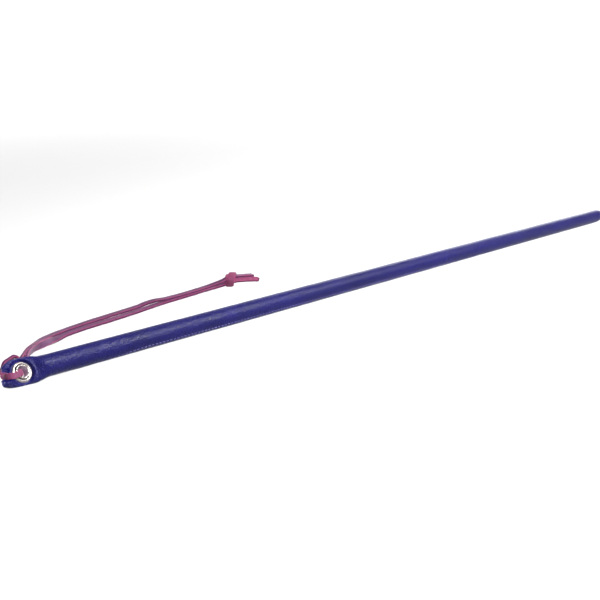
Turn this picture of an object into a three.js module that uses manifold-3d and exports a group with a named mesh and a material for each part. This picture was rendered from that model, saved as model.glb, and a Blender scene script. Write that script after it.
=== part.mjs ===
// A leather-covered round stick with an eyelet and a wrist thong at its butt end.
// Millimetres. +X runs along the stick from the pierced butt end to the rounded tip, +Z is up,
// and the origin is on the surface that the stick lies on, midway along it.
import * as THREE from "three";
import { mergeVertices } from "three/addons/utils/BufferGeometryUtils.js";
import Module from "manifold-3d";

// ---- driving dimensions ----
const LENGTH = 551;
const BUTT_RADIUS = 6.1; // outside of the leather where the shaft becomes round
const TIP_RADIUS = 5.6; // outside of the leather where the tip starts to round off
const DOME_LENGTH = 7;
const LEATHER = 1.1;
const GAP = 0.3; // running gap between two pieces that touch
const SIDES = 32; // facets round the shaft; the lowest one rests on the surface

// The butt end is pressed flat round the eyelet, and the flat faces up and to the front.
const EYELET_FROM_BUTT = 12.3;
const FLAT_LENGTH = 22; // from the eyelet's centre to where the shaft is round
const FLAT_ROLL = THREE.MathUtils.degToRad(55);
const FLAT_HALF_WIDTH = 7.35;
const WEB_HALF = 1.3; // half thickness round the eyelet
const LOBE_HALF = 2.7; // half thickness of the puffed edges
const FLAT_RISE = 2.7; // how far the flat curls up at the eyelet
const NOTCH_DEPTH = 5.2;
const NOTCH_HALF_WIDTH = 3.5;
const UPPER_LOBE_SHORTER = 3;
const UPPER_TAPER = 13.2; // where the flat's upper edge would reach its middle, behind the eyelet
const LOWER_TAPER = 17; // and its lower edge, which is squarer
const EYELET_DROP = 0.7; // how far the eyelet is below the flat's middle line
const NOTCH_DROP = 1.3; // and the notch, where the thong pulls

const SEAM_SIDE = 5; // facets from the lowest one round to the seam
const SEAM_DEPTH = 0.5;
const THREAD_RADIUS = 0.25;

const HOLE_RADIUS = 2.7;
const BARREL_RADIUS = 3.1;
const FLANGE_RADIUS = 5.7;
const ROLL_RADIUS = 4.2; // the barrel's end rolled over the washer
const SEAT_RADIUS = FLANGE_RADIUS + 1.5; // the dish that the eyelet presses into the leather
const METAL = 0.5;

const LACE_WIDTH = 4;
const LACE_THICKNESS = 1.5;
const HITCHED_WIDTH = 3.2; // where the lace is squeezed through the eyelet

const KNOT_CENTRE = new THREE.Vector3(-87.3, 60.4, 4.95);
const KNOT_LENGTH = 5.4;
const KNOT_HALF_WIDTH = 4.2;
const KNOT_HALF_HEIGHT = 4.9;
const KNOT_HEADING = THREE.MathUtils.degToRad(-32);

// ---- places along the stick ----
const BUTT_X = -LENGTH / 2;
const TIP_X = LENGTH / 2;
const DOME_X = TIP_X - DOME_LENGTH;
const EYELET_X = BUTT_X + EYELET_FROM_BUTT;
const ROUND_X = EYELET_X + FLAT_LENGTH;
const NOTCH_START_X = EYELET_X - 4;

// ---- materials ----
const leatherBlue = new THREE.MeshStandardMaterial({ color: 0x2a2478, roughness: 0.55, metalness: 0 });
const threadBlue = new THREE.MeshStandardMaterial({ color: 0x55518f, roughness: 0.8, metalness: 0 });
const cane = new THREE.MeshStandardMaterial({ color: 0xc8a46a, roughness: 0.7, metalness: 0 });
const nickel = new THREE.MeshStandardMaterial({ color: 0xd8d4cc, roughness: 0.2, metalness: 1 });
const lacePink = new THREE.MeshStandardMaterial({ color: 0x9a4a7c, roughness: 0.7, metalness: 0 });

// ---- shared helpers ----
const across = new THREE.Vector3(0, Math.cos(FLAT_ROLL), Math.sin(FLAT_ROLL));
const front = new THREE.Vector3(0, -Math.sin(FLAT_ROLL), Math.cos(FLAT_ROLL));

function radiusAt(x) {
  const share = THREE.MathUtils.clamp((x - ROUND_X) / (DOME_X - ROUND_X), 0, 1);
  return THREE.MathUtils.lerp(BUTT_RADIUS, TIP_RADIUS, share);
}

// The middle of the stick at x. The lowest facet lies on the surface all along the round shaft.
function centreAt(x) {
  const middle = new THREE.Vector3(x, 0, radiusAt(x) * Math.cos(Math.PI / SIDES));
  const curl = Math.max(0, (ROUND_X - x) / FLAT_LENGTH);
  return middle.addScaledVector(front, FLAT_RISE * curl * curl);
}

// A closed surface through rings of equally many points, with a fan over each end.
function loft(rings) {
  const count = rings[0].length;
  const points = rings.flat();
  const triangles = [];
  for (let r = 0; r + 1 < rings.length; r++) {
    for (let i = 0; i < count; i++) {
      const a = r * count + i;
      const b = r * count + ((i + 1) % count);
      triangles.push(a, b, a + count, b, b + count, a + count);
    }
  }
  const middleOf = (ring) =>
    ring.reduce((sum, p) => sum.add(p), new THREE.Vector3()).divideScalar(count);
  points.push(middleOf(rings[0]), middleOf(rings[rings.length - 1]));
  const last = (rings.length - 1) * count;
  for (let i = 0; i < count; i++) {
    const next = (i + 1) % count;
    triangles.push(points.length - 2, next, i);
    triangles.push(points.length - 1, last + i, last + next);
  }
  const geometry = new THREE.BufferGeometry().setFromPoints(points);
  geometry.setIndex(triangles);
  return geometry;
}

const wasm = await Module();
wasm.setup();

function solidOf(geometry) {
  const bare = geometry.clone();
  bare.deleteAttribute("normal");
  bare.deleteAttribute("uv");
  const merged = mergeVertices(bare, 1e-3);
  return new wasm.Manifold(
    new wasm.Mesh({
      numProp: 3,
      vertProperties: merged.attributes.position.array,
      triVerts: new Uint32Array(merged.index.array),
    }),
  );
}

function geometryOf(solid) {
  const mesh = solid.getMesh();
  const geometry = new THREE.BufferGeometry();
  geometry.setAttribute("position", new THREE.BufferAttribute(mesh.vertProperties, 3));
  geometry.setIndex(new THREE.BufferAttribute(mesh.triVerts, 1));
  return geometry;
}

function named(name, geometry, material) {
  const mesh = new THREE.Mesh(geometry, material);
  mesh.name = name;
  return mesh;
}

// ---- the leather sleeve ----

// Half the flat end's thickness at x, at a share u of its half width: a dished seat round the eyelet,
// puffed lobes at the edges, and thin again behind the notch, where the thong presses on it.
function flatHalfThickness(x, u, inset) {
  const along = x - EYELET_X;
  const side = u * FLAT_HALF_WIDTH;
  const fromEyelet = Math.hypot(along, side + EYELET_DROP);
  const fromThong = Math.abs(side + NOTCH_DROP);
  const outOfSeat = THREE.MathUtils.smoothstep(fromEyelet, SEAT_RADIUS, SEAT_RADIUS + 2);
  const clearOfThong = along < 0 ? THREE.MathUtils.smoothstep(fromThong, HITCHED_WIDTH / 2, HITCHED_WIDTH + 1) : 1;
  const half = THREE.MathUtils.lerp(WEB_HALF, LOBE_HALF, outOfSeat * clearOfThong) - inset;
  return half * Math.sqrt(1 - Math.abs(u) ** 6);
}

// How much of its width the flat keeps at x. It narrows behind the eyelet, more above than below.
function taperAt(x, isUpper) {
  const behind = Math.max(0, EYELET_X - x);
  return isUpper ? 1 - (behind / UPPER_TAPER) ** 2.5 : 1 - (behind / LOWER_TAPER) ** 4;
}

function sleevePoint(x, side, inset) {
  const angle = -Math.PI / 2 - ((side + 0.5) * 2 * Math.PI) / SIDES;
  const a = angle - FLAT_ROLL;
  const flatness = 1 - THREE.MathUtils.smoothstep(x, EYELET_X + SEAT_RADIUS, ROUND_X);
  const grooved = side === SEAM_SIDE && inset === 0 ? SEAM_DEPTH : 0;
  const radius = radiusAt(x) - inset - grooved;
  const flatWide = (FLAT_HALF_WIDTH - inset) * taperAt(x, Math.cos(a) > 0);
  const wide = THREE.MathUtils.lerp(radius, flatWide, flatness) * Math.cos(a);
  const flatThick = Math.sign(Math.sin(a)) * flatHalfThickness(x, Math.cos(a), inset);
  const thick = THREE.MathUtils.lerp(radius * Math.sin(a), flatThick, flatness);
  return centreAt(x).addScaledVector(across, wide).addScaledVector(front, thick);
}

// A ring at x. Past NOTCH_START_X the ring bends into the fishtail's two lobes.
function sleeveRing(x, inset) {
  const reach = Math.max(0, (NOTCH_START_X - x) / (NOTCH_START_X - BUTT_X));
  return Array.from({ length: SIDES }, (_, side) => {
    const angle = -Math.PI / 2 - ((side + 0.5) * 2 * Math.PI) / SIDES;
    const over = Math.cos(angle - FLAT_ROLL) * FLAT_HALF_WIDTH;
    const notch = NOTCH_DEPTH * Math.exp(-(((over + NOTCH_DROP) / NOTCH_HALF_WIDTH) ** 4));
    const shorter = UPPER_LOBE_SHORTER * THREE.MathUtils.smoothstep(over, 0, 3);
    return sleevePoint(x + reach * (notch + shorter), side, inset);
  });
}

function domeRing(turn, inset) {
  const centre = centreAt(DOME_X);
  const radius = (TIP_RADIUS - inset) * Math.cos(turn);
  return Array.from({ length: SIDES }, (_, side) => {
    const angle = -Math.PI / 2 - ((side + 0.5) * 2 * Math.PI) / SIDES;
    return new THREE.Vector3(
      DOME_X + (DOME_LENGTH - inset) * Math.sin(turn),
      radius * Math.cos(angle),
      centre.z + radius * Math.sin(angle),
    );
  });
}

function leatherSleeve() {
  const flatSteps = 10;
  const shaftSteps = 8;
  const domeSteps = 6;
  const notchSteps = 4;
  const stations = [];
  for (let i = 0; i <= notchSteps; i++) {
    stations.push(THREE.MathUtils.lerp(BUTT_X, NOTCH_START_X, i / notchSteps));
  }
  for (let i = 1; i <= flatSteps; i++) {
    stations.push(THREE.MathUtils.lerp(NOTCH_START_X, ROUND_X, i / flatSteps));
  }
  for (let i = 1; i <= shaftSteps; i++) {
    stations.push(THREE.MathUtils.lerp(ROUND_X, DOME_X, i / shaftSteps));
  }
  const domeTurns = Array.from({ length: domeSteps }, (_, i) => ((i + 1) / (domeSteps + 0.5)) * (Math.PI / 2));
  const wall = (inset) => [
    ...stations.map((x) => sleeveRing(x, inset)),
    ...domeTurns.map((turn) => domeRing(turn, inset)),
  ];
  const shell = loft([...wall(0).reverse(), ...wall(LEATHER)]);
  const drill = new THREE.CylinderGeometry(BARREL_RADIUS + GAP, BARREL_RADIUS + GAP, 4 * LOBE_HALF, SIDES);
  drill.rotateX(Math.PI / 2);
  eyeletFrame.updateMatrixWorld(true);
  drill.applyMatrix4(eyeletFrame.matrixWorld);
  return named("leather_sleeve", geometryOf(solidOf(shell).subtract(solidOf(drill))), leatherBlue);
}

// ---- the core ----
function coreRod() {
  const chamfer = 1;
  const inset = LEATHER + GAP;
  const domeLength = DOME_LENGTH - inset;
  const ring = (x, share) => {
    const over = Math.max(0, (x - DOME_X) / domeLength);
    const r = (radiusAt(x) - inset) * Math.sqrt(1 - over * over) * share;
    return Array.from({ length: SIDES }, (_, side) => {
      const angle = -((side + 0.5) * 2 * Math.PI) / SIDES;
      return centreAt(x).add(new THREE.Vector3(0, r * Math.cos(angle), r * Math.sin(angle)));
    });
  };
  const rings = [ring(ROUND_X, 0.8), ring(ROUND_X + chamfer, 1)];
  for (const part of [0, 0.3, 0.55, 0.75, 0.9]) {
    rings.push(ring(DOME_X + part * domeLength, 1));
  }
  return named("core_rod", loft(rings.reverse()), cane);
}

// ---- the seam's thread, which lies in the seam's groove ----
function seamThread() {
  const from = ROUND_X + 12;
  const to = DOME_X - 3;
  const proud = 0.15;
  const angle = -Math.PI / 2 - ((SEAM_SIDE + 0.5) * 2 * Math.PI) / SIDES;
  const at = (x) => {
    const r = radiusAt(x) + proud;
    return centreAt(x).add(new THREE.Vector3(0, r * Math.cos(angle), r * Math.sin(angle)));
  };
  const section = new THREE.Shape(roundPoints(THREAD_RADIUS, THREAD_RADIUS, 6));
  const geometry = new THREE.ExtrudeGeometry(section, {
    steps: 20,
    extrudePath: new THREE.LineCurve3(at(from), at(to)),
  });
  return named("seam_thread", geometry, threadBlue);
}

function roundPoints(halfX, halfY, count) {
  return Array.from({ length: count }, (_, i) => {
    const a = ((i + 0.5) * 2 * Math.PI) / count;
    return new THREE.Vector2(halfX * Math.cos(a), halfY * Math.sin(a));
  });
}

// ---- the eyelet: a barrel with its back flange, and a front washer that it is rolled over ----
const eyeletFrame = new THREE.Group();
eyeletFrame.position.copy(centreAt(EYELET_X)).addScaledVector(across, -EYELET_DROP);
eyeletFrame.rotation.set(FLAT_ROLL, Math.atan((2 * FLAT_RISE) / FLAT_LENGTH), 0);

const WASHER_BASE = WEB_HALF + GAP;
const WASHER_TOP = WASHER_BASE + METAL;
const ROLL_BASE = WASHER_TOP + GAP;

function turned(name, profile) {
  const points = profile.map(([radius, height]) => new THREE.Vector2(radius, height));
  const mesh = named(name, new THREE.LatheGeometry([...points, points[0]], SIDES), nickel);
  mesh.rotation.x = Math.PI / 2;
  return mesh;
}

function eyeletBarrel() {
  const back = -WASHER_BASE;
  return turned("eyelet_barrel", [
    [BARREL_RADIUS, ROLL_BASE],
    [BARREL_RADIUS, back],
    [FLANGE_RADIUS, back],
    [FLANGE_RADIUS - 0.3, back - METAL],
    [HOLE_RADIUS + 0.8, back - METAL - 0.3],
    [HOLE_RADIUS, back - METAL / 2],
    [HOLE_RADIUS, ROLL_BASE],
    [HOLE_RADIUS + 0.4, ROLL_BASE + METAL],
    [ROLL_RADIUS - 0.3, ROLL_BASE + METAL],
    [ROLL_RADIUS, ROLL_BASE + METAL / 2],
    [ROLL_RADIUS - 0.2, ROLL_BASE],
  ].reverse());
}

function eyeletWasher() {
  return turned("eyelet_washer", [
    [BARREL_RADIUS + GAP, WASHER_BASE],
    [FLANGE_RADIUS, WASHER_BASE],
    [FLANGE_RADIUS - 0.2, WASHER_TOP - 0.1],
    [FLANGE_RADIUS - 0.7, WASHER_TOP + 0.2],
    [FLANGE_RADIUS - 1.2, WASHER_TOP],
    [BARREL_RADIUS + GAP, WASHER_TOP],
  ]);
}

// ---- the thong: one flat lace, knotted into a loop ----

// A lace's path. Its width turns towards the given directions, which are spread evenly along it.
class LacePath extends THREE.CatmullRomCurve3 {
  constructor(route, widths) {
    super(route.map((p) => new THREE.Vector3(...p)));
    this.widths = widths.map((p) => new THREE.Vector3(...p));
  }

  computeFrenetFrames(steps) {
    const frames = { tangents: [], normals: [], binormals: [] };
    for (let i = 0; i <= steps; i++) {
      const tangent = this.getTangentAt(i / steps);
      const place = (i / steps) * (this.widths.length - 1);
      const before = Math.min(Math.floor(place), this.widths.length - 2);
      const width = this.widths[before].clone().lerp(this.widths[before + 1], place - before);
      const normal = width.cross(tangent).normalize();
      frames.tangents.push(tangent);
      frames.normals.push(normal);
      frames.binormals.push(tangent.clone().cross(normal));
    }
    return frames;
  }
}

function laceAlong(name, route, widths, steps, width = LACE_WIDTH) {
  const halfT = LACE_THICKNESS / 2;
  const halfW = width / 2;
  const bevel = 0.4;
  const section = new THREE.Shape([
    new THREE.Vector2(halfT, halfW - bevel),
    new THREE.Vector2(halfT - bevel, halfW),
    new THREE.Vector2(bevel - halfT, halfW),
    new THREE.Vector2(-halfT, halfW - bevel),
    new THREE.Vector2(-halfT, bevel - halfW),
    new THREE.Vector2(bevel - halfT, -halfW),
    new THREE.Vector2(halfT - bevel, -halfW),
    new THREE.Vector2(halfT, bevel - halfW),
  ]);
  const extrudePath = new LacePath(route, widths);
  return named(name, new THREE.ExtrudeGeometry(section, { steps, extrudePath }), lacePink);
}

// Points of the hitch are along the stick, across the flat and out of its front face, from the eyelet.
const HITCH_ROUTE = [
  [1.0, -0.4, -4.6],
  [-0.3, -0.3, -2.8],
  [-0.5, -0.2, 0],
  [-0.7, -0.2, 2.2],
  [-1.8, -0.5, 4.0],
  [-3.8, -1.1, 4.8],
  [-5.9, -1.5, 4.5],
  [-7.6, -1.3, 3.7],
  [-8.8, -0.8, 2.3],
  [-9.1, -0.3, 0.5],
  [-8.8, 0.3, -1.4],
  [-7.7, 1.6, -3.2],
  [-6.7, 3.8, -4.1],
  [-5.6, 6.2, -4.0],
  [-4.1, 8.0, -3.9],
  [-2.0, 8.8, -3.9],
  [0.2, 9.6, -4.0],
  [2.1, 10.0, -4.2],
  [3.5, 9.5, -4.6],
  [4.2, 8.6, -5.2],
  [4.1, 6.6, -6.2],
];
const HITCH_ACROSS = [0, 1, 0];
const HITCH_ALONG = [1, 0, 0];
const HITCH_BACK = [0.7, 0.3, -0.6];
const HITCH_WIDTHS = [
  ...Array(10).fill(HITCH_ACROSS),
  [0.5, 0.8, 0],
  ...Array(3).fill(HITCH_ALONG),
  ...Array(7).fill(HITCH_BACK),
];

const NEAR_ROUTE = [
  [-256, 8, 9.2],
  [-253.8, 12.1, 9.1],
  [-250.8, 17, 8.4],
  [-244.1, 25.8, 6.6],
  [-233.7, 35.3, 3.8],
  [-222.9, 43.3, 1.3],
  [-215.7, 46.9, 0.85],
  [-202.9, 49.6, 0.8],
  [-190, 51.3, 0.8],
  [-177.5, 52.9, 0.8],
  [-163.4, 55.1, 0.8],
  [-148.8, 58, 0.8],
  [-135.2, 59.7, 0.8],
  [-120.2, 61.3, 0.8],
  [-106.3, 62.8, 0.8],
  [-99, 63.2, 0.95],
  [-92.6, 62.4, 1.7],
];

const FAR_ROUTE = [
  [-257.8, 9, 9.4],
  [-255.6, 12.4, 9],
  [-250.1, 21.7, 7.6],
  [-243.6, 30.9, 5.9],
  [-234.8, 39.9, 4],
  [-224.4, 48.2, 2.1],
  [-212.4, 53.7, 1],
  [-199.5, 56.7, 0.85],
  [-186.2, 58.7, 0.85],
  [-173.5, 60.5, 0.85],
  [-160, 62.4, 0.9],
  [-153.6, 62.5, 1.8],
  [-147.5, 61.2, 2.7],
  [-140, 60.2, 2.6],
  [-132, 60.2, 2.6],
  [-120.4, 61.2, 2.6],
  [-106.6, 62.5, 2.8],
  [-100, 62.2, 3.6],
  [-93.4, 61.2, 4.9],
];

const ON_EDGE = [0, 0, 1];
const FLAT_DOWN = [-0.25, 1, 0];
const STRAND_WIDTHS = [
  ON_EDGE,
  ON_EDGE,
  [-0.2, 0.4, 0.9],
  [-0.4, 0.7, 0.6],
  [-0.3, 0.9, 0.25],
  ...Array(14).fill(FLAT_DOWN),
];

const UPPER_TAIL_ROUTE = [
  [-82.7, 59.5, 6.7],
  [-79, 59.8, 6.1],
  [-74, 59.8, 5.4],
  [-69.3, 59.4, 4.8],
];
const UPPER_TAIL_WIDTH = [0, 1, -0.25];

const LOWER_TAIL_ROUTE = [
  [-83.4, 59.6, 3.8],
  [-78.5, 58.9, 3.3],
  [-72.5, 57.4, 2.8],
  [-65.9, 54.9, 2.1],
];
const LOWER_TAIL_WIDTH = [0, 1, 0.12];

function thongKnot() {
  const half = KNOT_LENGTH / 2;
  const profile = [
    [0, -half],
    [0.78, -half],
    [0.94, -0.8 * half],
    [1, -0.4 * half],
    [1, 0.4 * half],
    [0.94, 0.8 * half],
    [0.78, half],
    [0, half],
  ].map(([radius, height]) => new THREE.Vector2(radius, height));
  const mesh = named("thong_knot", new THREE.LatheGeometry(profile, 24), lacePink);
  mesh.geometry.rotateZ(-Math.PI / 2);
  mesh.scale.set(1, KNOT_HALF_WIDTH, KNOT_HALF_HEIGHT);
  mesh.rotation.z = KNOT_HEADING;
  mesh.position.copy(KNOT_CENTRE);
  return mesh;
}

// ---- assembly ----
const stick = new THREE.Group();
eyeletFrame.add(eyeletBarrel(), eyeletWasher(), laceAlong("thong_hitch", HITCH_ROUTE, HITCH_WIDTHS, 40, HITCHED_WIDTH));
stick.add(coreRod(), leatherSleeve(), seamThread(), eyeletFrame);

const thong = new THREE.Group();
thong.add(
  laceAlong("thong_strand_near", NEAR_ROUTE, STRAND_WIDTHS, 30),
  laceAlong("thong_strand_far", FAR_ROUTE, STRAND_WIDTHS, 30),
  thongKnot(),
  laceAlong("thong_tail_upper", UPPER_TAIL_ROUTE, [UPPER_TAIL_WIDTH, UPPER_TAIL_WIDTH], 4),
  laceAlong("thong_tail_lower", LOWER_TAIL_ROUTE, [LOWER_TAIL_WIDTH, LOWER_TAIL_WIDTH], 5),
);

const wand = new THREE.Group();
wand.add(stick, thong);

export default wand;
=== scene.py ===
import math

import bpy
from mathutils import Matrix, Vector, noise


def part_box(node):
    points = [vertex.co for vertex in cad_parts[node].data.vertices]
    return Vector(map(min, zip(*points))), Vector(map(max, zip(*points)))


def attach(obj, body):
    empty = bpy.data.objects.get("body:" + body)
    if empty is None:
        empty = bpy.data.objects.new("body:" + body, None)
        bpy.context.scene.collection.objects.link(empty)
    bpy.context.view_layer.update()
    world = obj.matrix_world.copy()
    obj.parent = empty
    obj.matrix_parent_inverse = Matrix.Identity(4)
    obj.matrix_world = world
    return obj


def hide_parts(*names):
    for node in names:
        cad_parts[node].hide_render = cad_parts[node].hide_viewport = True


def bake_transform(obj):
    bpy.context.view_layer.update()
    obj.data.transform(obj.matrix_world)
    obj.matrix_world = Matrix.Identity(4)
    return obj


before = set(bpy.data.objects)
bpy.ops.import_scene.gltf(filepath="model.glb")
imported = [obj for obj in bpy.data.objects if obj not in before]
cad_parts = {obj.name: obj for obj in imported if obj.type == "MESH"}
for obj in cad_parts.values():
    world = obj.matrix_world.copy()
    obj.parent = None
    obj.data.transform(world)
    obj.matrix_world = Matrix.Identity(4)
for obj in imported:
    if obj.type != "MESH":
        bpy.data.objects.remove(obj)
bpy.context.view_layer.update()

MM = 0.001
TURN = 2 * math.pi

# ---- sizes and places, as in the CAD ----
BUTT_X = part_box("leather_sleeve")[0].x
TIP_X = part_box("leather_sleeve")[1].x
BUTT_RADIUS = 6.1 * MM
TIP_RADIUS = 5.6 * MM
DOME_LENGTH = 7 * MM
DOME_X = TIP_X - DOME_LENGTH
LEATHER = 1.1 * MM

EYELET_FROM_BUTT = 12.3 * MM
EYELET_X = BUTT_X + EYELET_FROM_BUTT
FLAT_LENGTH = 22 * MM
ROUND_X = EYELET_X + FLAT_LENGTH
FLAT_ROLL = math.radians(55)
FLAT_HALF_WIDTH = 7.35 * MM
WEB_HALF = 1.3 * MM
LOBE_HALF = 2.7 * MM
FLAT_RISE = 2.7 * MM
EYELET_DROP = 0.7 * MM
NOTCH_DROP = 1.3 * MM
UPPER_TAPER = 13.2 * MM
LOWER_TAPER = 17 * MM

HOLE_RADIUS = 2.7 * MM
BARREL_RADIUS = 3.1 * MM
FLANGE_RADIUS = 5.7 * MM
ROLL_RADIUS = 4.2 * MM
METAL = 0.5 * MM
GAP = 0.3 * MM

LACE_WIDTH = 4 * MM
LACE_THICKNESS = 1.5 * MM
HITCHED_SHARE = 0.8

KNOT_CENTRE = Vector((-87.3, 60.4, 4.95)) * MM
KNOT_HALF_WIDTH = 4.2 * MM
KNOT_HALF_HEIGHT = 4.9 * MM
KNOT_HEADING = math.radians(-32)

# ---- sizes that only the looks have ----
# The fishtail's cut end, whose notch and lobes differ a little from the CAD's.
NOTCH_DEPTH = 5.3 * MM
UPPER_LOBE = 2.6 * MM
LOWER_LOBE = 0.8 * MM
NOTCH_START_X = EYELET_X - 3.4 * MM

# The leather's folds, seam and unevenness.
FOLD_HEIGHT = 0.32 * MM
SEAM_GROOVE = 0.42 * MM
SEAM_LIP = 0.16 * MM
SHAFT_WAVE = 0.05 * MM

# How the lace is wound in the knot: its width there and how far each turn slants to either side.
KNOT_WRAP_SHARE = 1.25
KNOT_SLANT = 2.3 * MM

# The thong's routes, point for point as in the CAD, in metres. The hitch is given from the eyelet.
HITCH_ROUTE = [
    (0.001, -0.0004, -0.0046),
    (-0.0003, -0.0003, -0.0028),
    (-0.0005, -0.0002, 0),
    (-0.0007, -0.0002, 0.0022),
    (-0.0018, -0.0005, 0.004),
    (-0.0038, -0.0011, 0.0048),
    (-0.0059, -0.0015, 0.0045),
    (-0.0076, -0.0013, 0.0037),
    (-0.0088, -0.0008, 0.0023),
    (-0.0091, -0.0003, 0.0005),
    (-0.0088, 0.0003, -0.0014),
    (-0.0077, 0.0016, -0.0032),
    (-0.0067, 0.0038, -0.0041),
    (-0.0056, 0.0062, -0.004),
    (-0.0041, 0.008, -0.0039),
    (-0.002, 0.0088, -0.0039),
    (0.0002, 0.0096, -0.004),
    (0.0021, 0.01, -0.0042),
    (0.0035, 0.0095, -0.0046),
    (0.0042, 0.0086, -0.0052),
    (0.0041, 0.0066, -0.0062),
]
NEAR_ROUTE = [
    (-0.256, 0.008, 0.0092),
    (-0.2538, 0.0121, 0.0091),
    (-0.2508, 0.017, 0.0084),
    (-0.2441, 0.0258, 0.0066),
    (-0.2337, 0.0353, 0.0038),
    (-0.2229, 0.0433, 0.0013),
    (-0.2157, 0.0469, 0.00085),
    (-0.2029, 0.0496, 0.0008),
    (-0.19, 0.0513, 0.0008),
    (-0.1775, 0.0529, 0.0008),
    (-0.1634, 0.0551, 0.0008),
    (-0.1488, 0.058, 0.0008),
    (-0.1352, 0.0597, 0.0008),
    (-0.1202, 0.0613, 0.0008),
    (-0.1063, 0.0628, 0.0008),
    (-0.099, 0.0632, 0.00095),
    (-0.0926, 0.0624, 0.0017),
]
FAR_ROUTE = [
    (-0.2578, 0.009, 0.0094),
    (-0.2556, 0.0124, 0.009),
    (-0.2501, 0.0217, 0.0076),
    (-0.2436, 0.0309, 0.0059),
    (-0.2348, 0.0399, 0.004),
    (-0.2244, 0.0482, 0.0021),
    (-0.2124, 0.0537, 0.001),
    (-0.1995, 0.0567, 0.00085),
    (-0.1862, 0.0587, 0.00085),
    (-0.1735, 0.0605, 0.00085),
    (-0.16, 0.0624, 0.0009),
    (-0.1536, 0.0625, 0.0018),
    (-0.1475, 0.0612, 0.0027),
    (-0.14, 0.0602, 0.0026),
    (-0.132, 0.0602, 0.0026),
    (-0.1204, 0.0612, 0.0026),
    (-0.1066, 0.0625, 0.0028),
    (-0.1, 0.0622, 0.0036),
    (-0.0934, 0.0612, 0.0049),
]
UPPER_TAIL_ROUTE = [
    (-0.0827, 0.0595, 0.0067),
    (-0.079, 0.0598, 0.0061),
    (-0.074, 0.0598, 0.0054),
    (-0.0693, 0.0594, 0.0048),
]
LOWER_TAIL_ROUTE = [
    (-0.0834, 0.0596, 0.0038),
    (-0.0785, 0.0589, 0.0033),
    (-0.0725, 0.0574, 0.0028),
    (-0.0659, 0.0549, 0.0021),
]

# Stretches that only the looks have: behind the flat, from the hole to the near strand and from the hitch
# round it to the far strand, and the strands' and tails' ends inside the knot.
HITCH_TUCK = [
    (0.0042, 0.005, -0.0069),
    (0.0048, 0.0036, -0.0068),
    (0.0056, 0.0029, -0.0057),
    (0.006, 0.003, -0.0045),
]
BEHIND_ROUTE = [
    (0.0004, -0.0003, -0.0036),
    (0.0016, 0.0004, -0.0047),
    (0.0036, 0.0028, -0.0046),
    (0.0062, 0.0056, -0.0045),
    (0.0088, 0.0077, -0.0057),
]
FAR_ROOT = [(-0.2592, 0.007, 0.0093)]
NEAR_IN_KNOT = [(-0.0895, 0.0613, 0.0029), (-0.0872, 0.0605, 0.0035)]
FAR_IN_KNOT = [(-0.0905, 0.0608, 0.0058), (-0.0878, 0.0604, 0.0061)]
UPPER_TAIL_IN_KNOT = [(-0.0872, 0.0604, 0.0066), (-0.0848, 0.0598, 0.0068)]
LOWER_TAIL_IN_KNOT = [(-0.0874, 0.0604, 0.004), (-0.0852, 0.06, 0.0037)]

# Which way the lace's width turns, spread evenly along each stretch.
HITCH_ACROSS = Vector((0, 1, 0))
HITCH_ALONG = Vector((1, 0, 0))
HITCH_BACK = Vector((0.8, -0.1, -0.58))
HITCH_WIDTHS = [HITCH_ACROSS] * 10 + [Vector((0.5, 0.8, 0))] + [HITCH_ALONG] * 3 + [HITCH_BACK] * 7
TUCK_WIDTHS = [HITCH_BACK, Vector((1, 0.2, -0.2)), Vector((1, 0.3, 0)), Vector((0.8, 0.6, 0))]
BEHIND_WIDTHS = [
    Vector((0.7, -0.7, 0)),
    Vector((0.7, -0.7, 0)),
    Vector((-0.6, 0.7, 0.2)),
    Vector((-0.3, 0.9, 0.4)),
]
FLAT_DOWN = Vector((-0.25, 1, 0))
NEAR_WIDTHS = [
    Vector((0.3, 0, 0.95)),
    Vector((0.3, 0, 0.95)),
    Vector((0.25, 0.05, 0.96)),
    Vector((0.05, 0.4, 0.9)),
    Vector((-0.25, 0.75, 0.5)),
    *[FLAT_DOWN] * 14,
]
FAR_WIDTHS = [
    Vector((0.24, 0.18, 0.95)),
    Vector((0.24, 0.18, 0.95)),
    Vector((0.38, -0.1, 0.85)),
    Vector((0.45, -0.8, 0.35)),
    *[-FLAT_DOWN] * 15,
]
UPPER_TAIL_WIDTHS = [Vector((0, 1, 0.05))] * 2
LOWER_TAIL_WIDTHS = [Vector((0, 1, 0.45))] * 2

ACROSS = Vector((0, math.cos(FLAT_ROLL), math.sin(FLAT_ROLL)))
FRONT = Vector((0, -math.sin(FLAT_ROLL), math.cos(FLAT_ROLL)))
UP = Vector((0, 0, 1))


# ---- the camera ----
CAMERA_PLACE = (-0.3989, -0.4016, 0.1916)
CAMERA_HEADING = 50.98
CAMERA_PITCH = 20


def add_camera():
    """A 50 mm lens that looks along its heading, in degrees round from +X, and down by its pitch."""
    data = bpy.data.cameras.new("camera")
    data.lens = 50
    data.sensor_width = 36
    data.clip_start = 0.01
    data.clip_end = 50
    camera = bpy.data.objects.new("camera", data)
    bpy.context.scene.collection.objects.link(camera)
    camera.location = CAMERA_PLACE
    camera.rotation_euler = (math.radians(90 - CAMERA_PITCH), 0, math.radians(CAMERA_HEADING - 90))
    bpy.context.scene.camera = camera


# ---- shared helpers ----
def mix(a, b, share):
    return a + (b - a) * share


def smoothstep(value, low, high):
    share = min(1.0, max(0.0, (value - low) / (high - low)))
    return share * share * (3 - 2 * share)


def bump(value, centre, width):
    """A rounded hill of height 1."""
    return math.exp(-(((value - centre) / width) ** 2))


def ragged(value, seed):
    """Smooth noise from -1 to 1 along one dimension."""
    return noise.noise(Vector((value, seed, 0.5 * seed)))


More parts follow.
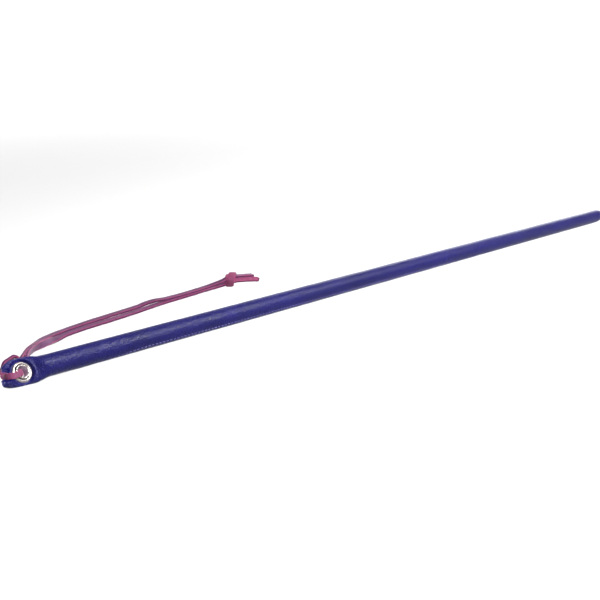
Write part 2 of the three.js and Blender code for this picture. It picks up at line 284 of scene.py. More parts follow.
def add_mesh(name, points, faces, body=None):
    mesh = bpy.data.meshes.new(name)
    mesh.from_pydata(points, [], faces)
    mesh.polygons.foreach_set("use_smooth", [True] * len(mesh.polygons))
    mesh.update()
    piece = bpy.data.objects.new(name, mesh)
    bpy.context.scene.collection.objects.link(piece)
    if body:
        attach(piece, body)
    return piece


def ring_faces(rings, count, closed_along=False):
    """Quads between rings of count points each."""
    faces = []
    pairs = rings if closed_along else rings - 1
    for r in range(pairs):
        here = r * count
        there = ((r + 1) % rings) * count
        for i in range(count):
            j = (i + 1) % count
            faces.append((here + i, here + j, there + j, there + i))
    return faces


def capped_faces(rings, count):
    """The faces of a tube of rings, with a flat cap on each end."""
    last = (rings - 1) * count
    faces = ring_faces(rings, count)
    faces.append(tuple(range(count - 1, -1, -1)))
    faces.append(tuple(range(last, last + count)))
    return faces


def share_values(piece, name, values):
    """Keeps one number for each vertex, which a material reads by that name."""
    attribute = piece.data.attributes.new(name, "FLOAT", "POINT")
    attribute.data.foreach_set("value", values)


def smooth_line(route, step):
    """Points about one step apart on a smooth curve through the route."""
    line = []
    ends = [2 * route[0] - route[1], *route, 2 * route[-1] - route[-2]]
    for a, b, c, d in zip(ends, ends[1:], ends[2:], ends[3:]):
        count = max(2, round((c - b).length / step))
        for i in range(count):
            t = i / count
            point = 2 * b + (c - a) * t
            point += (2 * a - 5 * b + 4 * c - d) * t**2
            point += (3 * b - a - 3 * c + d) * t**3
            line.append(0.5 * point)
    line.append(route[-1].copy())
    return line


# ---- materials ----
class Material:
    """A node material round one Principled shader, with short calls to add and join nodes."""

    def __init__(self, name):
        self.material = bpy.data.materials.new(name)
        self.material.use_nodes = True
        self.tree = self.material.node_tree
        self.shader = self.tree.nodes["Principled BSDF"]

    def node(self, kind, settings=None, **inputs):
        made = self.tree.nodes.new("ShaderNode" + kind)
        for key, value in (settings or {}).items():
            setattr(made, key, value)
        for key, value in inputs.items():
            self.put(made.inputs[key.replace("_", " ")], value)
        return made

    def put(self, socket, value):
        if isinstance(value, bpy.types.NodeSocket):
            self.tree.links.new(value, socket)
        else:
            socket.default_value = value

    def place(self):
        return self.node("TexCoord").outputs["Object"]

    def noise(self, scale, detail=2.0, roughness=0.5, vector=None):
        made = self.node("TexNoise", Scale=scale, Detail=detail, Roughness=roughness)
        self.put(made.inputs["Vector"], vector or self.place())
        return made.outputs["Fac"]

    def ramp(self, value, low, high, to_low=0.0, to_high=1.0):
        made = self.node("MapRange", {"interpolation_type": "SMOOTHSTEP"}, Value=value)
        self.put(made.inputs["From Min"], low)
        self.put(made.inputs["From Max"], high)
        self.put(made.inputs["To Min"], to_low)
        self.put(made.inputs["To Max"], to_high)
        return made.outputs["Result"]

    def kept(self, name):
        """The number that share_values keeps under a name."""
        return self.node("Attribute", {"attribute_name": name}).outputs["Fac"]

    def combine(self, operation, a, b):
        made = self.node("Math", {"operation": operation})
        self.put(made.inputs[0], a)
        self.put(made.inputs[1], b)
        return made.outputs[0]

    def scaled(self, value, amount):
        return self.combine("MULTIPLY", value, amount)

    def tint(self, tone, colour, mask, amount):
        """The tone with some of another colour over it where the mask is 1."""
        return self.blend(self.scaled(mask, amount), tone, colour)

    def blend(self, share, a, b):
        made = self.node("Mix", {"data_type": "RGBA"})
        self.put(made.inputs["Factor"], share)
        self.put(made.inputs[6], a)
        self.put(made.inputs[7], b)
        return made.outputs[2]

    def relief(self, height, distance, strength=1.0, below=None):
        made = self.node("Bump", Height=height, Distance=distance, Strength=strength)
        if below:
            self.put(made.inputs["Normal"], below)
        return made.outputs["Normal"]

    def surface(self, **inputs):
        for key, value in inputs.items():
            self.put(self.shader.inputs[key.replace("_", " ")], value)
        return self.material


def linear(red, green, blue):
    """A colour from its 0 to 255 values on a screen."""

    def channel(value):
        value /= 255
        return value / 12.92 if value <= 0.04045 else ((value + 0.055) / 1.055) ** 2.4

    return (channel(red), channel(green), channel(blue), 1.0)


LEATHER_SHINE = 0.14


def leather_blue():
    """Fine-grained leather, dyed blue-violet: pebbles with creases between them, paler at cut edges."""
    m = Material("blue_leather")
    warp = m.noise(300, 2.0)
    pebbles = m.node("TexVoronoi", {"feature": "SMOOTH_F1"}, Scale=1050, Smoothness=0.3, Randomness=0.9)
    m.put(pebbles.inputs["Vector"], m.place())
    grain = m.ramp(pebbles.outputs["Distance"], 0.15, 0.75, 1.0, 0.0)
    fine = m.noise(5200, 3.0, 0.6)
    cloud = m.noise(28, 3.0)
    streak = m.noise(130, 2.0)
    tone = m.blend(m.ramp(cloud, 0.3, 0.7), linear(10, 9, 63), linear(16, 13, 75))
    tone = m.tint(tone, linear(22, 18, 86), m.ramp(streak, 0.45, 0.75), 0.3)
    tone = m.tint(tone, linear(6, 5, 42), m.ramp(grain, 0.0, 0.45, 1.0, 0.0), 0.45)
    tone = m.tint(tone, linear(62, 58, 120), m.kept("cut"), 0.75)
    height = m.combine("ADD", m.scaled(grain, 0.75), m.scaled(fine, 0.25))
    height = m.combine("ADD", height, m.scaled(warp, 0.15))
    dullness = m.combine("ADD", m.scaled(cloud, 0.6), m.scaled(fine, 0.4))
    return m.surface(
        Base_Color=tone,
        Roughness=m.ramp(dullness, 0.3, 0.7, 0.32, 0.42),
        Normal=m.relief(height, 0.2 * MM),
        Specular_IOR_Level=LEATHER_SHINE,
    )


def lace_pink():
    """A flat leather lace: mauve faces with a fibrous grain, rims lighter and redder, partly their own
    colour and partly a painted highlight, and cut sides darker purple, a painted shade.
    """
    m = Material("pink_lace")
    along = m.node("UVMap", {"uv_map": "UVMap"}).outputs["UV"]
    stretched = m.node("Mapping", Vector=along, Scale=(1000, 60, 1)).outputs["Vector"]
    ribs = m.noise(1.2, 3.0, 0.6, stretched)
    fibres = m.noise(1500, 4.0, 0.65)
    cloud = m.noise(110, 3.0)
    tone = m.blend(m.ramp(cloud, 0.3, 0.7), linear(50, 20, 46), linear(68, 30, 64))
    tone = m.tint(tone, linear(84, 42, 80), m.ramp(ribs, 0.35, 0.7), 0.5)
    tone = m.tint(tone, linear(54, 22, 48), m.ramp(fibres, 0.5, 0.8), 0.45)
    red = m.blend(m.ramp(ribs, 0.3, 0.7), linear(98, 38, 64), linear(118, 58, 86))
    tone = m.blend(m.kept("redder"), tone, red)
    # Painted shade: the narrow cut sides are darker purple.
    tone = m.blend(m.kept("shaded_cut_side"), tone, linear(50, 22, 54))
    # The corners are lighter and redder, partly their own colour and partly a painted highlight.
    tone = m.blend(m.ramp(m.kept("rim"), 0.7, 1.0), tone, linear(118, 40, 76))
    height = m.combine("ADD", m.scaled(fibres, 0.6), m.scaled(ribs, 0.5))
    return m.surface(
        Base_Color=tone,
        Roughness=m.ramp(fibres, 0.3, 0.7, 0.48, 0.66),
        Normal=m.relief(height, 0.09 * MM),
        Specular_IOR_Level=LEATHER_SHINE,
        Sheen_Weight=0.1,
        Sheen_Roughness=0.5,
        Sheen_Tint=(1.0, 0.75, 0.9, 1.0),
    )


def nickel_bright():
    """Bright nickel plating with fine scratches and a few dull marks. Its grooves are darkened as dirt and
    painted shade, and the hole's wall is dulled and painted lighter and mauve, a painted pool of light and
    reflection of the lace."""
    m = Material("nickel")
    scratches = m.noise(2600, 4.0, 0.7)
    marks = m.noise(420, 3.0)
    # The hole's wall is painted lighter and mauve, a painted pool of light and reflection of the lace, and
    # made duller and less metallic.
    hole_wall_painted_light = m.kept("hole_wall_painted_light")
    tone = m.blend(m.ramp(marks, 0.35, 0.75), linear(140, 135, 133), linear(112, 103, 103))
    # Painted shade: the groove round the roll and the roll's splits are darkened, as dirt and as the shade
    # that falls in them.
    tone = m.blend(m.kept("groove"), tone, linear(58, 48, 52))
    polish = m.ramp(m.combine("ADD", scratches, m.scaled(marks, 0.5)), 0.5, 1.1, 0.24, 0.38)
    return m.surface(
        Base_Color=m.blend(hole_wall_painted_light, tone, linear(186, 168, 188)),
        Metallic=m.ramp(hole_wall_painted_light, 0, 1, 1.0, 0.3),
        Roughness=m.combine("MAXIMUM", polish, m.scaled(hole_wall_painted_light, 0.6)),
        Normal=m.relief(scratches, 0.0015 * MM),
    )


def thread_blue():
    """Waxed sewing thread, with the twist of its strands."""
    m = Material("seam_thread")
    twist = m.node("TexWave", {"bands_direction": "DIAGONAL"}, Scale=900, Distortion=2.0, Detail=2.0)
    m.put(twist.inputs["Vector"], m.place())
    tone = m.blend(twist.outputs["Fac"], linear(84, 80, 138), linear(122, 118, 176))
    return m.surface(Base_Color=tone, Roughness=0.6, Normal=m.relief(twist.outputs["Fac"], 0.04 * MM))


def cane_plain():
    """Rattan, with its long pores."""
    m = Material("cane")
    stretched = m.node("Mapping", Vector=m.place(), Scale=(0.05, 1, 1)).outputs["Vector"]
    pores = m.noise(1050, 3.0, 0.6, stretched)
    tone = m.blend(m.ramp(pores, 0.35, 0.65), linear(176, 138, 92), linear(214, 182, 132))
    return m.surface(Base_Color=tone, Roughness=0.65, Normal=m.relief(pores, 0.05 * MM))


# ---- the leather sleeve ----
def radius_at(x):
    share = min(1.0, max(0.0, (x - ROUND_X) / (DOME_X - ROUND_X)))
    return mix(BUTT_RADIUS, TIP_RADIUS, share)


def centre_at(x):
    """The middle of the stick at x. Its lowest line lies on the floor, and the flat end curls up."""
    curl = max(0.0, (ROUND_X - x) / FLAT_LENGTH)
    return Vector((x, 0, radius_at(x))) + FRONT * (FLAT_RISE * curl * curl)


SEAT_RADIUS = FLANGE_RADIUS + 0.3 * MM
FLAT_END_X = EYELET_X + SEAT_RADIUS
UPPER_SHAFT_X = EYELET_X + 11.5 * MM
LOWER_SHAFT_X = EYELET_X + 16 * MM
UPPER_HALF_WIDTH = 7.35 * MM
LOWER_HALF_WIDTH = 7.7 * MM
RIDGE_RADIUS = 6.9 * MM
RIDGE_HEIGHT = 0.7 * MM
SEAM_PITCH = 2.4 * MM


def taper_at(x, is_upper):
    """How much of its width the flat keeps at x. It narrows behind the eyelet, more above than below."""
    behind = max(0.0, EYELET_X - x)
    return 1 - (behind / UPPER_TAPER) ** 2.5 if is_upper else 1 - (behind / LOWER_TAPER) ** 4


def end_of(over):
    """How far the cut end is in front of the butt's furthest point, at a place over across the flat."""
    notch = (NOTCH_DEPTH - LOWER_LOBE) * smoothstep(over, -3.8 * MM, -1.2 * MM)
    return LOWER_LOBE + notch - UPPER_LOBE * smoothstep(over, 0.8 * MM, 4.2 * MM)


def flat_half_thickness(x, share, side):
    """Half the pressed end's thickness at a share of its half width. side is 1 in front and -1 behind."""
    along = x - EYELET_X
    over = share * FLAT_HALF_WIDTH
    from_eyelet = math.hypot(along, over + EYELET_DROP)
    turn = math.atan2(over + EYELET_DROP, along)
    out_of_seat = smoothstep(from_eyelet, SEAT_RADIUS, SEAT_RADIUS + 1.6 * MM)
    clear = 1.0
    if along < 0:
        clear = smoothstep(abs(over + NOTCH_DROP), 1.2 * MM, 3.4 * MM)
    half = mix(WEB_HALF, LOBE_HALF, out_of_seat * clear)
    end = BUTT_X + end_of(over)
    half *= 1 - 0.4 * smoothstep(x, end + 2.6 * MM, end)
    if side > 0:
        ahead = smoothstep(math.cos(turn), -0.5, 0.3)
        half += RIDGE_HEIGHT * bump(from_eyelet, RIDGE_RADIUS, 0.8 * MM) * ahead
        folds = math.sin(9 * turn + 0.6) + 0.6 * math.sin(17 * turn + 2.0)
        half += FOLD_HEIGHT * folds * smoothstep(-math.cos(turn), 0.1, 0.6) * out_of_seat * clear
    return half * math.sqrt(max(0.0, 1 - abs(share) ** 6))


def seam_angle(x):
    """Degrees from the lowest line round to the seam, which wanders a little along the stick."""
    near_butt = 1 - smoothstep(x, -0.235, -0.19)
    near_tip = smoothstep(x, 0.0, 0.2)
    return 62 - 38 * near_butt - 30 * near_tip + 2.5 * ragged(x * 14, 3.1)


def sleeve_point(x, angle, inset):
    """A point of the leather at an angle round the stick, inset from its outer face."""
    a = angle - FLAT_ROLL
    upward = 0.5 + 0.5 * math.cos(a)
    flatness = 1 - smoothstep(x, FLAT_END_X, mix(LOWER_SHAFT_X, UPPER_SHAFT_X, upward))
    from_seam = math.degrees((-math.pi / 2 - angle) % TURN) - seam_angle(x)
    groove = 0.0
    if inset == 0 and x > ROUND_X:
        groove = SEAM_GROOVE * bump(from_seam, 0, 3.2) * smoothstep(x, ROUND_X, ROUND_X + 15 * MM)
        groove -= SEAM_LIP * bump(from_seam, 7.5, 5) * smoothstep(x, ROUND_X, ROUND_X + 15 * MM)
    wobble = SHAFT_WAVE * noise.noise(Vector((x * 60, math.cos(angle) * 1.5, math.sin(angle) * 1.5)))
    radius = radius_at(x) - inset - groove + wobble
    flat_wide = mix(LOWER_HALF_WIDTH, UPPER_HALF_WIDTH, upward) * taper_at(x, math.cos(a) > 0)
    wide = mix(radius, flat_wide - inset, flatness) * math.cos(a)
    half = max(0.12 * MM, flat_half_thickness(x, math.cos(a), math.sin(a)) - inset)
    thick = mix(radius * math.sin(a), math.copysign(half, math.sin(a)), flatness)
    if flatness > 0 and abs(math.cos(a)) > 0.999:
        thick = mix(radius * math.sin(a), 0, flatness)
    point = centre_at(x) + ACROSS * wide + FRONT * thick
    point.z = max(point.z, 0)
    return point


AROUND = 192
ANGLES = [-math.pi / 2 - (i + 0.5) * TURN / AROUND for i in range(AROUND)]


def sleeve_ring(x, inset):
    """A ring at x. Behind the eyelet it bends into the fishtail's two lobes."""
    reach = max(0.0, (NOTCH_START_X - x) / (NOTCH_START_X - BUTT_X))
    ring = []
    for angle in ANGLES:
        over = math.cos(angle - FLAT_ROLL) * FLAT_HALF_WIDTH
        ring.append(sleeve_point(x + reach * end_of(over), angle, inset))
    return ring


def dome_ring(turn):
    """A ring of the rounded tip, which leans a little: its top runs further out than its bottom."""
    lean = 2.2 * MM
    centre = centre_at(DOME_X)
    radius = TIP_RADIUS * math.cos(turn) ** 0.85
    x = DOME_X + DOME_LENGTH * math.sin(turn)
    return [
        Vector(
            (
                x + lean * math.sin(angle) * math.sin(turn) * math.cos(turn),
                radius * math.cos(angle),
                centre.z + radius * math.sin(angle),
            )
        )
        for angle in ANGLES
    ]


def in_hole(points, face):
    """Whether a face lies where the hole for the eyelet is punched. The eyelet's rings cover its edge."""
    middle = sum((points[i] for i in face), Vector()) / len(face)
    return (EYELET_TURN.transposed() @ (middle - EYELET_CENTRE)).xy.length < PUNCH_RADIUS


def add_leather_sleeve(material):
    """The outer face from butt to tip, and at the butt the leather's cut edge and a short inner face."""
    lip = 0.35 * MM
    slit = 5 * MM
    slit_steps = 5
    fine_pitch = 0.3 * MM
    shaft_pitch = 2 * MM
    dome_steps = 14
    inner = [sleeve_ring(BUTT_X + slit * (1 - i / slit_steps), LEATHER) for i in range(slit_steps)]
    inner.append(sleeve_ring(BUTT_X + 0.1 * MM, LEATHER))
    rim = [sleeve_ring(BUTT_X, LEATHER * 0.75), sleeve_ring(BUTT_X, lip)]
    xs = [BUTT_X + lip * 0.4]
    while xs[-1] < LOWER_SHAFT_X + 2 * MM:
        xs.append(xs[-1] + fine_pitch)
    while xs[-1] < DOME_X - 2.5 * MM:
        xs.append(xs[-1] + shaft_pitch)
    outer = [sleeve_ring(x, 0) for x in xs]
    dome = [dome_ring((i + 0.5) / dome_steps * math.pi / 2) for i in range(dome_steps)]
    rings = [*inner, *rim, *outer, *dome]
    points = [p for ring in rings for p in ring]
    faces = [tuple(reversed(f)) for f in capped_faces(len(rings), AROUND) if not in_hole(points, f)]
    piece = add_mesh("leather_cover", points, faces, "stick")
    cut_rings = len(inner) + len(rim)
    cut = [1.0 if r < cut_rings else 0.0 for r in range(len(rings)) for _ in range(AROUND)]
    share_values(piece, "cut", cut)
    piece.data.materials.append(material)
    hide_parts("leather_sleeve")


def add_seam_stitches(material):
    """Short stitches that lie in the seam's groove, each one a bent capsule."""
    sides = 6
    radius = 0.2 * MM
    length = 1.6 * MM
    points, faces = [], []
    x = ROUND_X + 14 * MM
    while x < DOME_X - 4 * MM:
        rings = []
        for share, fat in ((-0.5, 0.35), (-0.36, 0.9), (0, 1.0), (0.36, 0.9), (0.5, 0.35)):
            here = x + share * length
            angle = -math.pi / 2 - math.radians(seam_angle(here))
            sunk = 0.12 * MM + 0.9 * MM * share * share
            out = Vector((0, math.cos(angle), math.sin(angle)))
            side = Vector((0, -math.sin(angle), math.cos(angle)))
            middle = centre_at(here) + out * (radius_at(here) - sunk) + side * (0.25 * MM * share)
            rings.append(
                [
                    middle + (out * math.cos(t) + side * math.sin(t)) * radius * fat
                    for t in (TURN * i / sides for i in range(sides))
                ]
            )
        first = len(points)
        points.extend(p for ring in rings for p in ring)
        faces.extend(tuple(first + i for i in f) for f in capped_faces(len(rings), sides))
        x += SEAM_PITCH
    piece = add_mesh("seam_stitches", points, faces, "stick")
    piece.data.materials.append(material)
    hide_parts("seam_thread")


# ---- the eyelet ----
PUNCH_RADIUS = BARREL_RADIUS + 0.8 * MM
EYELET_CENTRE = centre_at(EYELET_X) - ACROSS * EYELET_DROP
EYELET_TILT = math.atan(2 * FLAT_RISE / FLAT_LENGTH)
EYELET_TURN = Matrix.Rotation(FLAT_ROLL, 3, "X") @ Matrix.Rotation(EYELET_TILT, 3, "Y")


def from_eyelet(along, over, out):
    """A point given along the stick, across the flat and out of its front face from the eyelet."""
    return EYELET_CENTRE + EYELET_TURN @ Vector((along, over, out))


def lathe(name, profile, material, ripple=None):
    """Turns a closed profile of (radius, height) round the eyelet's axis. ripple moves a point by its turn
    and says how dark it is painted there, as dirt and painted shade."""
    around = 144
    points, dirt_and_shade, hole_wall_painted_light = [], [], []
    for i in range(around):
        t = TURN * i / around
        for k, (radius, height) in enumerate(profile):
            dr, dh, groove = ripple(k, t) if ripple else (0, 0, 0)
            out = radius + dr
            points.append(from_eyelet(out * math.cos(t), out * math.sin(t), height + dh))
            # The groove round the roll is darkened, as dirt and painted shade.
            dirt_and_shade.append(max(groove, 1 - smoothstep(abs(radius - ROLL_RADIUS), 0.05 * MM, 0.4 * MM)))
            # Marks the hole's wall for its painted light.
            hole_wall_painted_light.append(1 - smoothstep(radius, HOLE_RADIUS, HOLE_RADIUS + 0.2 * MM))
    piece = add_mesh(name, points, ring_faces(around, len(profile), closed_along=True), "stick")
    share_values(piece, "groove", dirt_and_shade)
    share_values(piece, "hole_wall_painted_light", hole_wall_painted_light)
    piece.data.materials.append(material)
    return piece


def arc(centre_radius, centre_height, radius, start, end, steps):
    """Points of a profile on an arc, from one angle to another in degrees."""
    return [
        (
            centre_radius + radius * math.cos(math.radians(mix(start, end, i / steps))),
            centre_height + radius * math.sin(math.radians(mix(start, end, i / steps))),
        )
        for i in range(steps + 1)
    ]


WASHER_BASE = WEB_HALF + GAP
ROLL_BASE = WASHER_BASE + METAL + 0.1 * MM
ROLL_SPLITS = (0.5, 1.7, 2.6, 3.9, 5.2)


def add_eyelet(material):
    washer = [
        (BARREL_RADIUS + 0.15 * MM, WASHER_BASE - 0.1 * MM),
        (FLANGE_RADIUS - 0.1 * MM, WASHER_BASE - 0.15 * MM),
        *arc(FLANGE_RADIUS - 0.35 * MM, WASHER_BASE + 0.2 * MM, 0.35 * MM, -60, 60, 6),
        *arc(FLANGE_RADIUS - 0.95 * MM, WASHER_BASE - 0.35 * MM, 1.1 * MM, 62, 112, 8),
        (ROLL_RADIUS - 0.1 * MM, WASHER_BASE + 0.3 * MM),
        (BARREL_RADIUS + 0.15 * MM, WASHER_BASE + 0.25 * MM),
    ]
    ring = lathe("eyelet_front_ring", washer, material)
    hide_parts("eyelet_washer")

    roll = (ROLL_RADIUS - HOLE_RADIUS) / 2
    roll_middle = (ROLL_RADIUS + HOLE_RADIUS) / 2
    back = -WASHER_BASE
    tube_wall = [
        (BARREL_RADIUS, back + 0.1 * MM),
        (FLANGE_RADIUS - 0.2 * MM, back + 0.1 * MM),
        *arc(FLANGE_RADIUS - 0.3 * MM, back - 0.15 * MM, 0.3 * MM, 45, -80, 6),
        *arc(HOLE_RADIUS + 0.9 * MM, back + 0.35 * MM, 0.9 * MM, -100, -178, 8),
        (HOLE_RADIUS, 0),
        (HOLE_RADIUS, ROLL_BASE),
    ]
    rolled_end = [
        *arc(roll_middle, ROLL_BASE + 0.05 * MM, roll, 178, 2, 14),
        (ROLL_RADIUS - 0.25 * MM, ROLL_BASE - 0.12 * MM),
        (BARREL_RADIUS, ROLL_BASE - 0.05 * MM),
    ]

    def crimped(k, t):
        """Dents and small splits, only in the rolled end. The splits are darkened as dirt and painted
        shade.
        """
        if k < len(tube_wall):
            return 0, 0, 0
        dent = noise.noise(Vector((2.2 * math.cos(t), 2.2 * math.sin(t), 7.3)))
        split = max(bump((t - at + math.pi) % TURN, math.pi, 0.09) for at in ROLL_SPLITS)
        return 0.05 * MM * dent, 0.06 * MM * dent - 0.1 * MM * split, 0.7 * split

    tube = lathe("eyelet_tube", tube_wall + rolled_end, material, crimped)
    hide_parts("eyelet_barrel")


# ---- the thong ----
def lace_section():
    """The lace's outline as (width, thickness, rim, cut side), anticlockwise. rim is 1 at a corner, which
    is painted lighter and redder, partly its own colour and partly a painted highlight; cut side is 1 on a
    narrow side, which is painted darker as shade."""
    w = LACE_WIDTH / 2
    t = LACE_THICKNESS / 2
    r = 0.28 * MM
    section = []
    for sw, st, start in ((1, 1, 0), (-1, 1, 90), (-1, -1, 180), (1, -1, 270)):
        for step in range(4):
            a = math.radians(start + 30 * step)
            section.append((sw * (w - r) + r * math.cos(a), st * (t - r) + r * math.sin(a), 1.0, 0.0))
        if sw == st:
            section += [(-sw * w * share, st * t, 0.0, 0.0) for share in (-0.78, -0.45, 0.0, 0.45, 0.78)]
        else:
            # Narrow sides, marked for the painted shade of the cut sides.
            section += [(sw * w, -st * t * share, 0.0, 1.0) for share in (-0.35, 0.0, 0.35)]
    return section


SECTION = lace_section()
STEP = 0.5 * MM
END_CUT_REACH = 4 * MM


def ribbon(name, line, widths, material, seed, end_cut=None, width=1.0, crown=0.0, red=0.0):
    """A flat lace along line. widths are directions that its width turns towards, spread evenly along it.
    end_cut(share of the half width) is how far the far end runs past the line's end. crown is how far the
    middle of the outer face stands up and red how much of a lighter, redder tone shows on the piece."""
    points, rims, sides, uvs = [], [], [], []
    travelled = 0.0
    last = len(line) - 1
    for i, p in enumerate(line):
        tangent = (line[min(i + 1, last)] - line[max(i - 1, 0)]).normalized()
        place = i / last * (len(widths) - 1)
        k = min(int(place), len(widths) - 2)
        towards = widths[k].lerp(widths[k + 1], place - k)
        side = (towards - tangent * towards.dot(tangent)).normalized()
        out = tangent.cross(side)
        if i:
            travelled += (p - line[i - 1]).length
        wide = width * (1 + 0.04 * ragged(travelled * 180, seed))
        sway = 0.05 * MM * ragged(travelled * 300, seed + 4)
        near_end = max(0.0, 1 - (last - i) * STEP / END_CUT_REACH)
        for j, (w, t, rim, shaded_cut_side) in enumerate(SECTION):
            rough = 1 + 0.07 * rim * ragged(travelled * 900, seed + 0.37 * j)
            shift = tangent * end_cut(w / (LACE_WIDTH / 2)) * near_end if end_cut else Vector()
            raised = crown * (1 - (2 * w / LACE_WIDTH) ** 2)
            points.append(p + side * (w * wide * rough + sway) + out * (t * rough + raised) + shift)
            rims.append(rim)
            sides.append(shaded_cut_side)
            uvs.append((travelled, j / len(SECTION) * 0.01))
    piece = add_mesh(name, points, capped_faces(len(line), len(SECTION)))
    layer = piece.data.uv_layers.new(name="UVMap")
    for loop in piece.data.loops:
        layer.data[loop.index].uv = uvs[loop.vertex_index]
    share_values(piece, "rim", rims)
    share_values(piece, "shaded_cut_side", sides)
    share_values(piece, "redder", [red] * len(points))
    piece.data.materials.append(material)
    return piece


def lace_line(route):
    return smooth_line([Vector(p) for p in route], STEP)


def hitch_lace(name, route, widths, material, seed, width):
    """A stretch of the hitch, given from the eyelet. It stays with the stick."""
    line = smooth_line([from_eyelet(*p) for p in route], STEP)
    turned = [EYELET_TURN @ w for w in widths]
    piece = ribbon(name, line, turned, material, seed, width=width, red=0.6)
    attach(piece, "stick")
    return piece


def add_hitch(material):
    """The lace through the hole, round the notch and over the top, and its two ends behind the flat."""
    route = HITCH_ROUTE + HITCH_TUCK
    widths = HITCH_WIDTHS + TUCK_WIDTHS
    over_top = hitch_lace("thong_hitch_lace", route, widths, material, 2.0, HITCHED_SHARE)
    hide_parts("thong_hitch")
    behind = hitch_lace("thong_hitch_behind", BEHIND_ROUTE, BEHIND_WIDTHS, material, 3.0, 1.0)
    return [over_top, behind]


def add_strand(name, route, widths, material, seed, node):
    """A strand from the hitch into the knot."""
    line = lace_line(route)
    piece = ribbon(name, line, widths, material, seed)
    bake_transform(piece)
    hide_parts(node)
    return piece, line


def knot_wrap(name, offset, deeper, first, last, material, seed):
    """One turn of lace round the knot, from one angle to another in degrees, its two ends tucked in."""
    axis = Vector((math.cos(KNOT_HEADING), math.sin(KNOT_HEADING), 0))
    side = Vector((-axis.y, axis.x, 0))
    squareness = 0.82
    crown = 0.35 * MM
    steps = 90
    line = []
    for i in range(steps + 1):
        share = i / steps
        turn = math.radians(mix(first, last, share))
        tuck = 1.5 * MM * (smoothstep(share, 0.86, 1.0) + smoothstep(share, 0.14, 0.0))
        half_width = KNOT_HALF_WIDTH - LACE_THICKNESS / 2 - tuck - deeper
        half_height = KNOT_HALF_HEIGHT - LACE_THICKNESS / 2 - tuck - deeper
        c, s = math.cos(turn), math.sin(turn)
        line.append(
            KNOT_CENTRE
            + axis * (offset + mix(KNOT_SLANT, -KNOT_SLANT, share))
            + side * (half_width * math.copysign(abs(c) ** squareness, c))
            + UP * (half_height * math.copysign(abs(s) ** squareness, s))
        )
    piece = ribbon(name, line, [axis, axis], material, seed, width=KNOT_WRAP_SHARE, crown=crown, red=0.8)
    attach(piece, "thong")
    return piece


def add_knot(material):
    """The overhand knot: two laces, one on top of the other, wound round the two strands."""
    outer = knot_wrap("thong_knot_outer", 0.9 * MM, 0, -60, 285, material, 5.0)
    inner = knot_wrap("thong_knot_inner", -0.9 * MM, LACE_THICKNESS * 0.8, -70, 275, material, 6.0)
    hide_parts("thong_knot")
    return [outer, inner]


def add_tail(name, route, widths, material, seed, end_cut, red, node):
    piece = ribbon(name, lace_line(route), widths, material, seed, end_cut=end_cut, red=red)
    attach(piece, "thong")
    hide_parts(node)
    return piece


def notched(share):
    """A tail's end with a shallow notch."""
    return 0.9 * MM * (abs(share) - 0.5)


def pointed(share):
    """A tail's end cut to a blunt point."""
    return -1.8 * MM * abs(share)


def add_thong(material):
    hitch = add_hitch(material)
    near_route = NEAR_ROUTE + NEAR_IN_KNOT
    far_route = FAR_ROOT + FAR_ROUTE + FAR_IN_KNOT
    near, near_line = add_strand(
        "thong_lace_near", near_route, NEAR_WIDTHS, material, 11.0, "thong_strand_near"
    )
    far, far_line = add_strand(
        "thong_lace_far", far_route, FAR_WIDTHS, material, 17.0, "thong_strand_far"
    )
    knot = add_knot(material)
    upper_route = UPPER_TAIL_IN_KNOT + UPPER_TAIL_ROUTE
    lower_route = LOWER_TAIL_IN_KNOT + LOWER_TAIL_ROUTE
    upper = add_tail(
        "thong_tail_top",
        upper_route,
        UPPER_TAIL_WIDTHS,
        material,
        23.0,
        end_cut=notched,
        red=0.1,
        node="thong_tail_upper",
    )
    lower = add_tail(
        "thong_tail_bottom",
        lower_route,
        LOWER_TAIL_WIDTHS,
        material,
        29.0,
        end_cut=pointed,
        red=0.9,
        node="thong_tail_lower",
    )


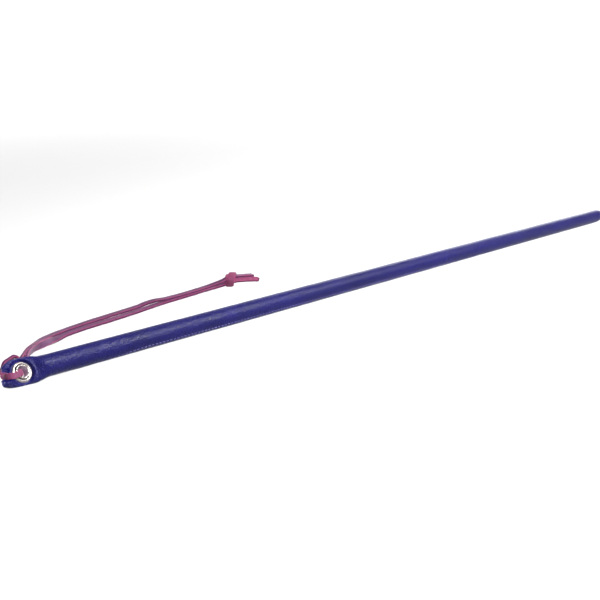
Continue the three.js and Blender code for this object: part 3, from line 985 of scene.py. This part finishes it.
# ---- floor and light ----
def add_floor():
    """A white floor that runs to the horizon and glows a little more away from the stick."""
    half = 60.0
    grey = 0.48
    corners = [(-half, -half, 0), (half, -half, 0), (half, half, 0), (-half, half, 0)]
    floor = add_mesh("floor", corners, [(0, 1, 2, 3)])
    m = Material("floor_white")
    distance = m.node("VectorMath", {"operation": "LENGTH"})
    m.put(distance.inputs[0], m.place())
    glow = m.ramp(distance.outputs["Value"], 0.35, 1.5, 0.0, 0.9)
    m.surface(Base_Color=(grey, grey, grey, 1), Roughness=0.9, Specular_IOR_Level=0.2)
    m.surface(Emission_Color=(1, 1, 1, 1), Emission_Strength=glow)
    floor.data.materials.append(m.material)


def add_area_light(name, place, target, size, power, shadow=True):
    """A rectangular lamp at a place, aimed at a target, with its power in watts."""
    data = bpy.data.lights.new(name, "AREA")
    data.use_shadow = shadow
    data.shape = "RECTANGLE"
    data.size, data.size_y = size
    data.energy = power
    light = bpy.data.objects.new(name, data)
    bpy.context.scene.collection.objects.link(light)
    light.location = place
    light.rotation_euler = (Vector(target) - Vector(place)).to_track_quat("-Z", "Y").to_euler()


def add_world():
    """A pale room: white round the horizon, where it meets the floor, and dimmer overhead."""
    world = bpy.data.worlds.new("studio")
    world.use_nodes = True
    nodes = world.node_tree.nodes
    links = world.node_tree.links
    direction = nodes.new("ShaderNodeTexCoord")
    height = nodes.new("ShaderNodeSeparateXYZ")
    strength = nodes.new("ShaderNodeMapRange")
    for name, value in (("From Min", 0.1), ("From Max", 0.5), ("To Min", 1.4), ("To Max", 0.15)):
        strength.inputs[name].default_value = value
    links.new(direction.outputs["Generated"], height.inputs[0])
    links.new(height.outputs["Z"], strength.inputs["Value"])
    links.new(strength.outputs[0], nodes["Background"].inputs["Strength"])
    nodes["Background"].inputs["Color"].default_value = (1, 1, 1, 1)
    bpy.context.scene.world = world


def add_lights():
    add_area_light("strip", (0.3, -0.75, 1.0), (-0.13, -0.2, 0), (0.8, 0.3), 52, shadow=False)
    add_area_light("top", (0, 0.5, 1.5), (0, 0.1, 0), (1.6, 1.2), 8)
    add_area_light("left", (-1.3, -0.9, 0.9), (-0.26, 0, 0), (0.8, 0.8), 4)
    add_area_light("back", (2.4, 1.5, 0.5), (0.2, 0, 0), (2.0, 0.7), 44)


def main():
    add_camera()
    add_thong(lace_pink())
    add_leather_sleeve(leather_blue())
    add_seam_stitches(thread_blue())
    add_eyelet(nickel_bright())
    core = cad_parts["core_rod"]
    core.data.materials.clear()
    core.data.materials.append(cane_plain())
    add_floor()
    add_world()
    add_lights()
    bpy.context.scene.view_settings.view_transform = "Standard"


main()
